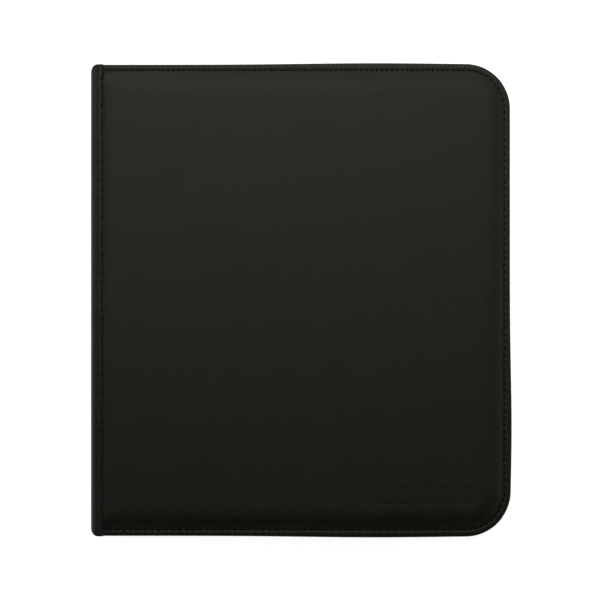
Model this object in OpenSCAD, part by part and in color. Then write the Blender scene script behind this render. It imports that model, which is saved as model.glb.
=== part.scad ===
// Zippered trading card binder for twelve-pocket side-loading pages.
// It lies closed on its back cover: X runs from the spine to the fore edge, Y along the spine, Z up.
// The origin is on the resting face, under the middle of the binder.

/* [Binder] */
// Width of the closed binder, from the spine's outer face to the fore edge
binder_w = 305; // [300:1:325]
// Height of the covers, along the spine
binder_h = 343; // [330:1:365]
// Thickness of the closed binder
binder_t = 38; // [38:1:46]
// Radius of the two fore-edge corners of the covers
corner_r = 32; // [20:1:40]
// Radius of the small corners at the two ends of the spine
spine_corner_r = 6.5; // [5:0.5:9]
// Outer radius of the leatherette roll where a cover turns into the spine
roll_r = 4; // [3.5:0.5:5]

/* [Cover layers] */
// Thickness of the leatherette
skin_t = 0.9; // [0.7:0.1:1.2]
// Thickness of the padding foam
foam_t = 1.2; // [0.8:0.1:2]
// Thickness of the greyboard in the covers and in the spine
board_t = 2; // [1.5:0.1:2.2]
// Thickness of the inner lining
lining_t = 0.5; // [0.3:0.1:0.6]
// Width of the flat stitched border round a padded panel
border_w = 5.6; // [5:0.1:7]
// Distance of the border's stitching from the edge of the cover
stitch_inset = 4.6; // [4:0.1:4.8]
// Distance of the padded panel from the spine's outer face
panel_gap = 9.4; // [9:0.1:12]

/* [Zip] */
// Thickness of the zip tape
tape_t = 0.7; // [0.5:0.1:0.8]
// Thickness of the coil, across the tape
coil_t = 2.2; // [1.8:0.1:2.4]
// Height of one half of the coil, along the tape
coil_h = 2.6; // [2.2:0.1:2.8]
// Gap between the two halves of the coil
coil_gap = 1.2; // [1:0.1:1.6]
// Length of the slider
slider_l = 12; // [11:0.5:14]
// Length of the pull, from its pivot to its tip
pull_l = 27; // [22:1:34]

/* [Pages] */
// Number of pocket pages, an even number
page_count = 20; // [4:2:20]
// Pockets across a page
columns = 4; // [3:1:4]
// Height of a page
page_h = 296; // [284:1:300]
// Width of one pocket column, seams included
column_w = 68.5; // [66:0.5:69]
// Distance between neighbouring pages in the closed binder
page_pitch = 1.3; // [1.1:0.05:1.3]

/* [Hidden] */
$fn = 48;
eps = 0.01;

// Places that everything else is worked out from
spine_x = -binder_w / 2;
mid_z = binder_t / 2;
cover_t = skin_t + foam_t + board_t + lining_t;
border_z = foam_t + board_t;
cover_left = spine_x + roll_r + skin_t;
panel_left = spine_x + panel_gap;

// Spine: skin, board and lining, and the ends that clear the rolls
spine_t = skin_t + board_t + 0.2 + lining_t;
spine_h = binder_h - 2 * spine_corner_r;
spine_skin_end = roll_r + 0.5;
spine_board_end = roll_r + 0.7;
spine_lining_end = cover_t + 0.6;

// Zip wall: its tape stands just inside the stitching
wall_inset = border_w;
hem_inset = 1.2;
hem_t = 0.6;
hem_gap = 0.05;
wall_left = spine_x + spine_corner_r + 0.1;
coil_z = mid_z - coil_gap / 2 - coil_h;
coil_inset = wall_inset + tape_t / 2 - coil_t / 2;
coil_left = wall_left + 2;
stop_l = 1.6;
stop_t = 2.5;

// Slider: parked at the spine's end of the lower run, with the front coil free
slider_clearance = 0.2;
slider_lip_gap = 0.3;
channel_t = coil_t + 2 * slider_clearance;
slot_t = tape_t + 2 * slider_lip_gap;
channel_h = 2 * coil_h + coil_gap + 2 * slider_lip_gap;
slider_lip = 1;
slider_h = channel_h + 2 * slider_lip;
plate_t = 1.1;
wedge_l = 3;
wedge_h = 0.8;
slider_x = coil_left + 0.4 + slider_l / 2;
slider_y = -(binder_h / 2 - wall_inset - tape_t / 2);
front_coil_start = slider_x + slider_l / 2 + 1.2;

// Bridge and pull
bridge_l = 8;
bridge_w = 2;
bridge_h = 2.5;
bridge_wall = 0.6;
bridge_foot = 1.8;
pull_bar_r = 0.6;
pull_lift = 0.9;
pull_t = 1.2;
pull_w = 8;
pull_arm_w = 1.5;
pull_window_w = 3;
pull_window_l = 6;
plate_face = channel_t / 2 + plate_t;

// Pages: the pivots of the middle pages stand further from the spine
binding_face = spine_x + spine_t;
binding_tape_t = 0.5;
binding_tape_end = spine_lining_end + 0.2;
pivot_first = 2.2;
pivot_step = 0.85;
pivot_gap = 0.35;
guard_t = 0.4;
core_t = 0.3;
film_t = 0.15;
film_seam = 1.2;
page_edge = 1.5;
page_margin = 14.4;
page_right = binding_face + page_margin + columns * column_w + page_edge;

// Threads are flat ribbons that stand for a row of stitches
thread_w = 0.6;
thread_t = 0.2;
spine_seam = 8.1;

function two_digits(i) = str(i < 10 ? "0" : "", i);
function page_name(i) = str("page_", two_digits(i));
// Page 1 is under the front cover, and the count of a page is taken from the nearer cover
function from_cover(i) = min(i, page_count + 1 - i) - 1;
function page_z(i) = mid_z + page_pitch * ((page_count + 1) / 2 - i);
function pivot_x(i) = binding_face + pivot_first + pivot_step * from_cover(i);

COVER_PARTS = ["skin", "padding", "board", "lining", "hinge_strip", "edge_thread", "spine_thread",
               "zip_hem", "zip_tape", "zip_coil", "zip_stops"];

// ---------- outlines ----------

// Outline of a closed cover, taken in by an inset: large corners at the fore edge, small ones at the spine
module cover_outline(inset) {
    x0 = spine_x + inset;
    x1 = binder_w / 2 - inset;
    y1 = binder_h / 2 - inset;
    r1 = corner_r - inset;
    r0 = max(spine_corner_r - inset, 0.5);
    translate([x0 + r0, -y1]) square([x1 - r1 - x0 - r0, 2 * y1]);
    translate([x0, -(y1 - r0)]) square([r0 + eps, 2 * (y1 - r0)]);
    translate([x1 - r1 - eps, -(y1 - r1)]) square([r1 + eps, 2 * (y1 - r1)]);
    for (side = [-1, 1]) {
        translate([x0 + r0, side * (y1 - r0)]) circle(r0);
        translate([x1 - r1, side * (y1 - r1)]) circle(r1, $fn = 96);
    }
}

// The part of the outline to the right of a given place
module cover_sheet(inset, left) {
    intersection() {
        cover_outline(inset);
        translate([left, -binder_h]) square([2 * binder_w, 2 * binder_h]);
    }
}

// A band that follows the outline's three free edges
module edge_band(inset, width, left) {
    inner_y = binder_h / 2 - inset - width;
    difference() {
        cover_sheet(inset, left);
        cover_outline(inset + width);
        translate([spine_x, -inner_y]) square([binder_w / 2, 2 * inner_y]);
    }
}

// A profile drawn in X and Z, run along the spine
module along_spine(length) {
    rotate([90, 0, 0]) linear_extrude(length, center = true) children();
}

// A flat ribbon along the spine, from one height up
module spine_ribbon(x, z, width, thick, length) {
    translate([x - width / 2, -length / 2, z]) cube([width, length, thick]);
}

// Turns a back cover's part into the front cover's
module as_front() {
    translate([0, 0, binder_t]) mirror([0, 0, 1]) children();
}

// ---------- one cover, drawn as the back cover ----------

// Leatherette: a flat border and a raised pan that holds the padding and the board
module cover_skin() {
    difference() {
        union() {
            translate([0, 0, border_z]) linear_extrude(skin_t) cover_sheet(0, cover_left);
            linear_extrude(border_z + skin_t) cover_sheet(border_w, panel_left);
        }
        translate([0, 0, skin_t])
            linear_extrude(cover_t) cover_sheet(border_w + skin_t, panel_left + skin_t);
    }
}

// A layer inside the pan, with room round it for the crowned leatherette
module panel_layer(z, thick) {
    play = 1.6;
    translate([0, 0, z])
        linear_extrude(thick) cover_sheet(border_w + skin_t + play, panel_left + skin_t + play);
}

module cover_padding() {
    panel_layer(skin_t, foam_t);
}

module cover_board() {
    panel_layer(skin_t + foam_t, board_t);
}

module cover_lining() {
    translate([0, 0, cover_t - lining_t]) linear_extrude(lining_t) cover_sheet(0.4, cover_left);
}

// Leatherette of the spine where it rolls onto the cover and is sewn down
module cover_hinge_strip() {
    strip_end = panel_left - 0.2;
    intersection() {
        along_spine(binder_h) {
            difference() {
                intersection() {
                    translate([spine_x + roll_r, roll_r]) circle(roll_r);
                    translate([spine_x, 0]) square(roll_r);
                }
                translate([spine_x + roll_r, roll_r]) circle(roll_r - skin_t);
            }
            translate([spine_x + roll_r - eps, 0]) square([skin_t - 0.1, border_z]);
            translate([spine_x + roll_r - eps, border_z - skin_t])
                square([strip_end - spine_x - roll_r, skin_t]);
        }
        linear_extrude(2 * cover_t) cover_outline(0);
    }
}

// Needle thread on the border's outer face, bobbin thread on the zip tape's hem
module cover_edge_thread() {
    for (z = [border_z - thread_t, cover_t + hem_t])
        translate([0, 0, z]) linear_extrude(thread_t)
            edge_band(stitch_inset, thread_w, panel_left);
}

// The seam that holds the spine's leatherette, on its outer face and on the lining
module cover_spine_thread() {
    length = binder_h - 2 * spine_corner_r;
    spine_ribbon(spine_x + spine_seam, border_z - skin_t - thread_t, thread_w, thread_t, length);
    spine_ribbon(spine_x + spine_seam, cover_t, thread_w, thread_t, length);
}

// Zip tape's hem, folded out and sewn to the cover's border
module cover_zip_hem() {
    translate([0, 0, cover_t]) linear_extrude(hem_t)
        edge_band(hem_inset, wall_inset - hem_gap - hem_inset, wall_left);
}

// Zip tape's standing wall, which carries the coil
module cover_zip_tape() {
    translate([0, 0, cover_t]) linear_extrude(coil_z - cover_t)
        edge_band(wall_inset, tape_t, wall_left);
}

// One half of the coil, which leaves the slider's parking place free where it has to
module cover_zip_coil(lower_start) {
    translate([0, 0, coil_z]) difference() {
        linear_extrude(coil_h) edge_band(coil_inset, coil_t, coil_left);
        translate([spine_x, -binder_h / 2, -1])
            cube([lower_start - spine_x, binder_h / 4, coil_h + 2]);
    }
}

// A stop in front of the coil's end: at the upper run for side 1, at the lower run for side -1
module zip_stop(side) {
    translate([coil_left - stop_l - 0.2, side * abs(slider_y) - stop_t / 2, coil_z])
        cube([stop_l, stop_t, coil_h]);
}

// ---------- back cover ----------

module back_skin() { color("#2b2b27") cover_skin(); }
module back_padding() { color("gainsboro") cover_padding(); }
module back_board() { color("#8f8474") cover_board(); }
module back_lining() { color("#1c1c1d") cover_lining(); }
module back_hinge_strip() { color("#262628") cover_hinge_strip(); }
module back_edge_thread() { color("#0e0e0e") cover_edge_thread(); }
module back_spine_thread() { color("#0e0e0e") cover_spine_thread(); }
module back_zip_hem() { color("#151515") cover_zip_hem(); }
module back_zip_tape() { color("#151515") cover_zip_tape(); }
module back_zip_coil() { color("#0b0b0b") cover_zip_coil(coil_left); }
module back_zip_stops() { color("#3a3a3a") for (side = [-1, 1]) zip_stop(side); }

// ---------- front cover ----------

module front_skin() { color("#2b2b27") as_front() cover_skin(); }
module front_padding() { color("gainsboro") as_front() cover_padding(); }
module front_board() { color("#8f8474") as_front() cover_board(); }
module front_lining() { color("#1c1c1d") as_front() cover_lining(); }
module front_hinge_strip() { color("#262628") as_front() cover_hinge_strip(); }
module front_edge_thread() { color("#0e0e0e") as_front() cover_edge_thread(); }
module front_spine_thread() { color("#0e0e0e") as_front() cover_spine_thread(); }
module front_zip_hem() { color("#151515") as_front() cover_zip_hem(); }
module front_zip_tape() { color("#151515") as_front() cover_zip_tape(); }
module front_zip_coil() { color("#0b0b0b") as_front() cover_zip_coil(front_coil_start); }
module front_zip_stops() { color("#3a3a3a") as_front() zip_stop(1); }

// ---------- spine and page binding ----------

// A layer of the spine: its depth from the outer face, its thickness and its clearance at both ends
module spine_layer(depth, thick, end, length) {
    translate([spine_x + depth, -length / 2, end]) cube([thick, length, binder_t - 2 * end]);
}

module spine_skin() { color("#262628") spine_layer(0, skin_t, spine_skin_end, spine_h); }

module spine_board() {
    color("#8f8474") spine_layer(skin_t + 0.1, board_t, spine_board_end, spine_h - 4);
}

module spine_lining() {
    color("#1c1c1d") spine_layer(spine_t - lining_t, lining_t, spine_lining_end, spine_h - 1);
}

module binding_tape() {
    color("#202022") spine_layer(spine_t, binding_tape_t, binding_tape_end, page_h);
}

// The strips that stay with the spine, one to a page, each up to that page's pivot
module binding_guards() {
    root = binding_face + binding_tape_t;
    color("#202022") for (i = [1 : page_count])
        translate([root, -page_h / 2, page_z(i) - guard_t / 2])
            cube([pivot_x(i) - pivot_gap - root, page_h, guard_t]);
}

// ---------- pages ----------

// A core sheet with clear pocket film on both faces, one strip of film to a column
module page(i) {
    left = pivot_x(i) + pivot_gap;
    film_left = binding_face + page_margin;
    film_w = column_w - film_seam;
    film_h = page_h - 2 * page_edge;
    color("#1a1a1b")
        translate([left, -page_h / 2, page_z(i) - core_t / 2])
            cube([page_right - left, page_h, core_t]);
    color("lightcyan")
        for (column = [0 : columns - 1], face = [-core_t / 2 - film_t, core_t / 2])
            translate([film_left + column * column_w, -film_h / 2, page_z(i) + face])
                cube([film_w, film_h, film_t]);
}

// ---------- slider and pull ----------

// Puts what is drawn round the track's centre line, with its outer side towards +Y, on the lower run
module at_slider() {
    translate([slider_x, slider_y, mid_z]) mirror([0, 1, 0]) children();
}

// Two plates joined by the wedge that parts the coil, with lips that hold the coil in
module slider_body() {
    color("#4a4a4c") at_slider() {
        for (side = [-1, 1]) {
            translate([0, side * (channel_t + plate_t) / 2, 0])
                cube([slider_l, plate_t, slider_h], center = true);
            for (edge = [-1, 1])
                translate([0, side * (channel_t + slot_t) / 4, edge * (slider_h - slider_lip) / 2])
                    cube([slider_l, (channel_t - slot_t) / 2, slider_lip], center = true);
        }
        translate([(slider_l - wedge_l) / 2, 0, 0])
            cube([wedge_l, channel_t + eps, wedge_h], center = true);
    }
}

// The arch that the pull hangs in
module slider_bridge() {
    opening_l = bridge_l - 2 * bridge_foot;
    color("#4a4a4c") at_slider() translate([0, plate_face + bridge_h / 2, 0]) difference() {
        cube([bridge_l, bridge_h, bridge_w], center = true);
        translate([0, -bridge_wall, 0])
            cube([opening_l, bridge_h, bridge_w + 1], center = true);
    }
}

// A cross bar under the bridge, two arms past it, and the flat grip
module slider_pull() {
    arm_z = pull_window_w / 2 + pull_arm_w / 2;
    bar_l = pull_window_w + 2 * pull_arm_w;
    tip_r = pull_w / 2;
    color("#4a4a4c") at_slider() translate([0, plate_face + pull_lift, 0]) {
        cylinder(h = bar_l, r = pull_bar_r, center = true);
        for (side = [-1, 1])
            translate([pull_window_l / 2, 0, side * arm_z])
                cube([pull_window_l + eps, pull_t, pull_arm_w], center = true);
        translate([pull_window_l, -pull_t / 2, -pull_w / 2])
            cube([pull_l - tip_r - pull_window_l, pull_t, pull_w]);
        translate([pull_l - tip_r, 0, 0]) rotate([90, 0, 0])
            cylinder(h = pull_t, r = tip_r, center = true);
    }
}

// ---------- assembly ----------

back_skin();
back_padding();
back_board();
back_lining();
back_hinge_strip();
back_edge_thread();
back_spine_thread();
back_zip_hem();
back_zip_tape();
back_zip_coil();
back_zip_stops();
front_skin();
front_padding();
front_board();
front_lining();
front_hinge_strip();
front_edge_thread();
front_spine_thread();
front_zip_hem();
front_zip_tape();
front_zip_coil();
front_zip_stops();
spine_skin();
spine_board();
spine_lining();
binding_tape();
binding_guards();
slider_body();
slider_bridge();
slider_pull();
for (i = [1 : page_count])
    page(i);
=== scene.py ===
"""Looks of the zippered trading card binder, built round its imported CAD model."""
import math
import random

import bmesh
import bpy
import numpy as np
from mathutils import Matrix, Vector
from mathutils.geometry import delaunay_2d_cdt


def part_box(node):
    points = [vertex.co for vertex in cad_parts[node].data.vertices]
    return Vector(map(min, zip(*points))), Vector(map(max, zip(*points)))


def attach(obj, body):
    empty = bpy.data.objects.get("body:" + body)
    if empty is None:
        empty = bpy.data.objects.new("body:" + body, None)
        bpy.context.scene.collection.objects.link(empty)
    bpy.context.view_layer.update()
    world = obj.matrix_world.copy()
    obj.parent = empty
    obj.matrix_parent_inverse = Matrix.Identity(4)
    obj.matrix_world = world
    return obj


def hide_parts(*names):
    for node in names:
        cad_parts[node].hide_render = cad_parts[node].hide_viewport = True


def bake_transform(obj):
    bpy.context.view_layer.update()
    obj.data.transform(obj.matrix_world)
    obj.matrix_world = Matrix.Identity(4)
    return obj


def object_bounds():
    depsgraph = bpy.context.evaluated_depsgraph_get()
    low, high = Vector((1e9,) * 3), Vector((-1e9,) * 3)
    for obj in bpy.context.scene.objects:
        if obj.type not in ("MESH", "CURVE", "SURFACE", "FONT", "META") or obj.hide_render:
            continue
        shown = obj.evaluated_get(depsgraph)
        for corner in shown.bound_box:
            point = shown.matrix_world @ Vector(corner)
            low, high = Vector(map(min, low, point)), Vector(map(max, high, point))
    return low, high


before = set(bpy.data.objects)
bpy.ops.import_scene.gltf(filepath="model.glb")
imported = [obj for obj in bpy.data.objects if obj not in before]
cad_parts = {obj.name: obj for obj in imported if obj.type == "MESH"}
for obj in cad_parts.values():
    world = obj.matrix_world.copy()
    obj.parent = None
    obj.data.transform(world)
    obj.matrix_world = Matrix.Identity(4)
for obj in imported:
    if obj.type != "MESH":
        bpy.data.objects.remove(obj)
cad_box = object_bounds()
random.seed(11)
MM = 0.001

# ---------- places, in millimetres, from the CAD nodes ----------


def box_mm(node):
    """Low and high corner of a CAD node, in millimetres."""
    lo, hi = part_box(node)
    return np.array(lo) / MM, np.array(hi) / MM


LO, HI = np.array(cad_box[0]) / MM, np.array(cad_box[1]) / MM
SPINE_X, FORE_X, HALF_H, TOP = LO[0], HI[0], HI[1], HI[2]
CORNER_R = 32.0
SPINE_CORNER_R = 6.5
SKIN_LO = box_mm("front_skin")[0]
LINING_LO, LINING_HI = box_mm("front_lining")
TAPE_LO, TAPE_HI = box_mm("front_zip_tape")
COIL_LO, COIL_HI = box_mm("front_zip_coil")
BORDER_Z = LINING_HI[2] + 0.9
BORDER_W = 5.6
PANEL_X = SPINE_X + 9.4
STITCH_D = 4.3
ROLL = 4.0
SPINE_LIFT = 5.4
FILM_LEFT = box_mm("binding_tape")[0][0] + 14.4
COLUMNS, ROWS = 4, 3
BODIES = {"front": "front_cover", "back": "back_cover"}
HEAD_PITCH, SIDE_PITCH = 3.7, 5.05
SPINE_SEAM_X = 8.1
SPINE_PITCH = 6.8
SPINE_SEAM_HALF = HALF_H - 6.5
SEAM_START = PANEL_X + 0.6
HEAD_RUN = FORE_X - CORNER_R - SEAM_START
ARC_RUN = CORNER_R * math.pi / 2
FORE_RUN = 2 * (HALF_H - CORNER_R)


def flip(side, z):
    """Height of a front cover's point on the cover of that side."""
    return z if side == "front" else TOP - z


# ---------- mesh helpers ----------


def add_object(name, verts, faces, materials, smooth=True, sharp_deg=None):
    """Makes a mesh object from points in millimetres, with its normals turned outwards."""
    mesh = bpy.data.meshes.new(name)
    mesh.from_pydata([tuple(v) for v in (np.asarray(verts, float) * MM)], [], faces)
    for m in materials if isinstance(materials, (list, tuple)) else [materials]:
        mesh.materials.append(m)
    obj = bpy.data.objects.new(name, mesh)
    bpy.context.scene.collection.objects.link(obj)
    fix_normals(mesh)
    for p in mesh.polygons:
        p.use_smooth = smooth
    if sharp_deg:
        mark_sharp(mesh, sharp_deg)
    return obj


def fix_normals(mesh):
    bm = bmesh.new()
    bm.from_mesh(mesh)
    bmesh.ops.recalc_face_normals(bm, faces=bm.faces)
    bm.to_mesh(mesh)
    bm.free()


def mark_sharp(mesh, degrees):
    bm = bmesh.new()
    bm.from_mesh(mesh)
    for e in bm.edges:
        if len(e.link_faces) == 2 and e.calc_face_angle(0) > math.radians(degrees):
            e.smooth = False
    bm.to_mesh(mesh)
    bm.free()


def store_wear(obj, values):
    """Stores how rubbed each point is, for the materials to read."""
    obj.data.attributes.new("wear", "FLOAT", "POINT").data.foreach_set("value", values)


class Parts:
    """Collects several simple meshes into one object."""

    def __init__(self):
        self.verts, self.faces, self.slots = [], [], []

    def add(self, verts, faces, slot=0):
        base = len(self.verts)
        self.verts.extend([tuple(v) for v in verts])
        self.faces.extend([tuple(base + i for i in f) for f in faces])
        self.slots.extend([slot] * len(faces))

    def make(self, name, materials, smooth=True, sharp_deg=None):
        obj = add_object(name, self.verts, self.faces, materials, smooth, sharp_deg)
        obj.data.polygons.foreach_set("material_index", self.slots)
        return obj


def grid_faces(rows, cols, closed_rows=False, closed_cols=False):
    """Quads of a grid of points stored row by row."""
    faces = []
    for i in range(rows if closed_rows else rows - 1):
        for j in range(cols if closed_cols else cols - 1):
            a, b = i * cols + j, i * cols + (j + 1) % cols
            c, d = ((i + 1) % rows) * cols + (j + 1) % cols, ((i + 1) % rows) * cols + j
            faces.append((a, b, c, d))
    return faces


def capped_tube(rings):
    """Closed tube through rings of equal size, with a flat cap at each end."""
    rings = np.asarray(rings, float)
    n, m = rings.shape[:2]
    faces = grid_faces(n, m, closed_cols=True)
    faces += [tuple(range(m))[::-1], tuple((n - 1) * m + i for i in range(m))]
    return rings.reshape(-1, 3), faces


def rod(points, radius, sides=6):
    """Round rod along points, with a radius that may vary."""
    points = np.asarray(points, float)
    tangent = np.gradient(points, axis=0)
    tangent /= np.linalg.norm(tangent, axis=1)[:, None] + 1e-12
    up = np.array([0.0, 0.0, 1.0])
    side = np.cross(tangent, up)
    weak = np.linalg.norm(side, axis=1) < 1e-3
    side[weak] = [0.0, 1.0, 0.0]
    side /= np.linalg.norm(side, axis=1)[:, None]
    third = np.cross(side, tangent)
    radius = np.broadcast_to(np.asarray(radius, float), (len(points),))
    a = np.linspace(0, 2 * math.pi, sides, endpoint=False)
    ring = side[:, None, :] * np.cos(a)[None, :, None]
    ring = ring + third[:, None, :] * np.sin(a)[None, :, None]
    return capped_tube(points[:, None, :] + ring * radius[:, None, None])


def free_edge(left, step):
    """Points along a cover's head, fore edge and foot: x, y, inward normal x, y, distance run."""
    x1, y1, r = FORE_X, HALF_H, CORNER_R
    pts = []
    n = max(2, round((x1 - r - left) / step))
    for t in np.linspace(0, 1, n, endpoint=False):
        pts.append((left + t * (x1 - r - left), y1, 0.0, -1.0))
    m = max(6, round(r * math.pi / 2 / step))
    for t in np.linspace(0, 1, m, endpoint=False):
        a = math.pi / 2 * (1 - t)
        pts.append((x1 - r + r * math.cos(a), y1 - r + r * math.sin(a), -math.cos(a), -math.sin(a)))
    k = max(2, round(2 * (y1 - r) / step))
    for t in np.linspace(0, 1, k, endpoint=False):
        pts.append((x1, (y1 - r) * (1 - 2 * t), -1.0, 0.0))
    for t in np.linspace(0, 1, m, endpoint=False):
        a = -math.pi / 2 * t
        pts.append((x1 - r + r * math.cos(a), -(y1 - r) + r * math.sin(a), -math.cos(a), -math.sin(a)))
    for t in np.linspace(0, 1, n + 1):
        pts.append((x1 - r - t * (x1 - r - left), -y1, 0.0, 1.0))
    p = np.array(pts)
    run = np.concatenate([[0], np.cumsum(np.linalg.norm(np.diff(p[:, :2], axis=0), axis=1))])
    return np.column_stack([p, run])


def sweep_edge(profile, left, step, side, shift=None):
    """Solid swept along the free edges from a closed profile of (inset, height) pairs."""
    path = free_edge(left, step)
    profile = np.asarray(profile, float)
    rings = []
    for x, y, nx, ny, run in path:
        d, z = profile[:, 0], profile[:, 1]
        if shift:
            d, z = shift(run, d, z)
        rings.append(np.column_stack([x + nx * d, y + ny * d, flip(side, z)]))
    return capped_tube(rings)


def fasten(obj, body, slot, *nodes):
    """Puts a rigid piece on its body, in place of its CAD nodes."""
    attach(obj, body)
    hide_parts(*nodes)


# ---------- materials ----------


class Nodes:
    """Short way to write a node tree."""

    def __init__(self, name):
        self.mat = bpy.data.materials.new(name)
        self.mat.use_nodes = True
        self.tree = self.mat.node_tree
        self.bsdf = self.tree.nodes["Principled BSDF"]
        self.coords = self.new("ShaderNodeTexCoord").outputs["Object"]

    def new(self, kind, **values):
        node = self.tree.nodes.new(kind)
        for key, value in values.items():
            setattr(node, key, value)
        return node

    def link(self, a, b):
        self.tree.links.new(a, b)

    def feed(self, node, key, value):
        if hasattr(value, "is_output"):
            self.link(value, node.inputs[key])
        else:
            node.inputs[key].default_value = value

    def noise(self, scale, detail=3.0, rough=0.55, coords=None):
        node = self.new("ShaderNodeTexNoise")
        self.feed(node, "Vector", coords or self.coords)
        node.inputs["Scale"].default_value = scale
        node.inputs["Detail"].default_value = detail
        node.inputs["Roughness"].default_value = rough
        return node.outputs["Fac"]

    def voronoi(self, scale):
        node = self.new("ShaderNodeTexVoronoi", feature="DISTANCE_TO_EDGE")
        self.feed(node, "Vector", self.coords)
        node.inputs["Scale"].default_value = scale
        return node.outputs["Distance"]

    def stretch(self, scale, rotate=(0, 0, 0)):
        node = self.new("ShaderNodeMapping")
        self.feed(node, "Vector", self.coords)
        node.inputs["Scale"].default_value = scale
        node.inputs["Rotation"].default_value = rotate
        return node.outputs["Vector"]

    def wave(self, scale, axis):
        node = self.new("ShaderNodeTexWave", wave_type="BANDS", bands_direction=axis)
        self.feed(node, "Vector", self.coords)
        node.inputs["Scale"].default_value = scale
        return node.outputs["Fac"]

    def ranged(self, value, a, b, c, d):
        node = self.new("ShaderNodeMapRange")
        self.feed(node, "Value", value)
        for key, v in zip(("From Min", "From Max", "To Min", "To Max"), (a, b, c, d)):
            node.inputs[key].default_value = v
        return node.outputs["Result"]

    def maths(self, op, a, b=0.0):
        node = self.new("ShaderNodeMath", operation=op)
        for i, v in enumerate((a, b)):
            self.feed(node, i, v)
        return node.outputs[0]

    def mix(self, fac, a, b):
        node = self.new("ShaderNodeMix", data_type="RGBA")
        self.feed(node, 0, fac)
        for i, v in ((6, a), (7, b)):
            if hasattr(v, "is_output"):
                self.link(v, node.inputs[i])
            else:
                node.inputs[i].default_value = (*v, 1.0)
        return node.outputs[2]

    def attribute(self, name):
        return self.new("ShaderNodeAttribute", attribute_name=name).outputs["Fac"]

    def bump(self, height, distance, strength=1.0, base=None):
        node = self.new("ShaderNodeBump")
        node.inputs["Strength"].default_value = strength
        node.inputs["Distance"].default_value = distance
        self.link(height, node.inputs["Height"])
        if base is not None:
            self.link(base, node.inputs["Normal"])
        return node.outputs["Normal"]

    def finish(self, color=None, rough=None, normal=None, **plain):
        if color is not None:
            self.link(color, self.bsdf.inputs["Base Color"])
        if rough is not None:
            self.link(rough, self.bsdf.inputs["Roughness"])
        if normal is not None:
            self.link(normal, self.bsdf.inputs["Normal"])
        for key, value in plain.items():
            self.bsdf.inputs[key.replace("_", " ")].default_value = value
        return self.mat


def leatherette(name, dark, light, rough_lo, rough_hi, grain=0.00016, tint=(1.0, 1.0, 0.82, 1.0)):
    """Pebbled leatherette: fine cells in soft hollows with painted shade in their creases, lighter where it
    wears on raised edges.
    """
    n = Nodes(name)
    warp = n.noise(420.0, 2.0)
    cells = n.voronoi(1150.0)
    small = n.voronoi(2300.0)
    creases = n.ranged(cells, 0.0, 0.16, 0.0, 1.0)
    pores = n.ranged(small, 0.0, 0.22, 0.0, 1.0)
    soft = n.noise(38.0, 4.0)
    haze = n.noise(9.0, 3.0)
    body = n.maths("ADD", n.maths("MULTIPLY", creases, 0.55), n.maths("MULTIPLY", pores, 0.25))
    height = n.maths("ADD", body, n.maths("MULTIPLY", warp, 0.5))
    wear = n.attribute("wear")
    tone = n.maths("ADD", n.ranged(haze, 0.35, 0.65, 0.15, 0.6), n.ranged(soft, 0.3, 0.7, -0.12, 0.16))
    base = n.mix(tone, dark, light)
    # Painted shade: the base colour darkens along the grain's creases, the hollows that the bump sinks.
    base = n.mix(n.ranged(creases, 0.0, 1.0, 0.45, 0.0), base, tuple(v * 0.45 for v in dark))
    base = n.mix(n.maths("MULTIPLY", wear, 0.55), base, tuple(min(1.0, v * 3.2) for v in light))
    rough = n.maths("ADD", n.ranged(soft, 0.3, 0.7, rough_lo, rough_hi), n.ranged(creases, 0, 1, 0.1, 0.0))
    normal = n.bump(height, grain, 0.6)
    normal = n.bump(soft, 0.0005, 0.08, normal)
    return n.finish(base, rough, normal, Specular_IOR_Level=0.45, Specular_Tint=tint)


def cloth(name, dark, light, pitch):
    """Woven cloth of a given thread pitch, in metres."""
    n = Nodes(name)
    u, v, w = (n.wave(1.0 / (pitch * math.pi), axis) for axis in "XYZ")
    weave = n.maths("MULTIPLY", n.maths("MAXIMUM", u, v), n.maths("ADD", n.maths("MULTIPLY", w, 0.5), 0.5))
    patches = n.noise(60.0, 4.0)
    tone = n.maths("ADD", n.maths("MULTIPLY", weave, 0.6), n.ranged(patches, 0.3, 0.7, 0.0, 0.4))
    base = n.mix(tone, dark, light)
    return n.finish(base, n.ranged(weave, 0.0, 1.0, 0.85, 0.7), n.bump(weave, pitch * 0.3, 0.6),
                    Sheen_Weight=0.15, Specular_IOR_Level=0.3)


def zip_tape_material():
    """Knitted zip tape: slanted ribs, stronger and fainter in bands along Z."""
    n = Nodes("zip_tape_knit")
    a = n.wave(420.0, "DIAGONAL")
    b = n.wave(620.0, "Z")
    rib = n.maths("MULTIPLY", a, n.maths("ADD", n.maths("MULTIPLY", b, 0.6), 0.4))
    fuzz = n.noise(900.0, 3.0)
    tone = n.maths("ADD", n.maths("MULTIPLY", rib, 0.7), n.maths("MULTIPLY", fuzz, 0.3))
    base = n.mix(tone, (0.004, 0.004, 0.004), (0.022, 0.022, 0.022))
    return n.finish(base, n.ranged(rib, 0, 1, 0.95, 0.75), n.bump(tone, 0.00025, 0.8),
                    Sheen_Weight=0.25, Specular_IOR_Level=0.25)


def thread_material():
    """Twisted polyester thread with a dull shine."""
    n = Nodes("bonded_thread")
    twist = n.wave(900.0, "DIAGONAL")
    fluff = n.noise(1800.0, 2.0)
    base = n.mix(twist, (0.0006, 0.0006, 0.0006), (0.004, 0.004, 0.0038))
    rough = n.ranged(fluff, 0.3, 0.7, 0.6, 0.8)
    return n.finish(base, rough, n.bump(twist, 0.00012, 0.7), Specular_IOR_Level=0.12)


def nylon_material():
    """Moulded black nylon with faint drawing lines."""
    n = Nodes("coil_nylon")
    lines = n.noise(260.0, 4.0, coords=n.stretch((1.0, 1.0, 6.0)))
    dust = n.noise(40.0, 3.0)
    base = n.mix(dust, (0.004, 0.004, 0.0045), (0.014, 0.014, 0.015))
    return n.finish(base, n.ranged(lines, 0.3, 0.7, 0.25, 0.42), n.bump(lines, 0.00006, 0.5))


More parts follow.
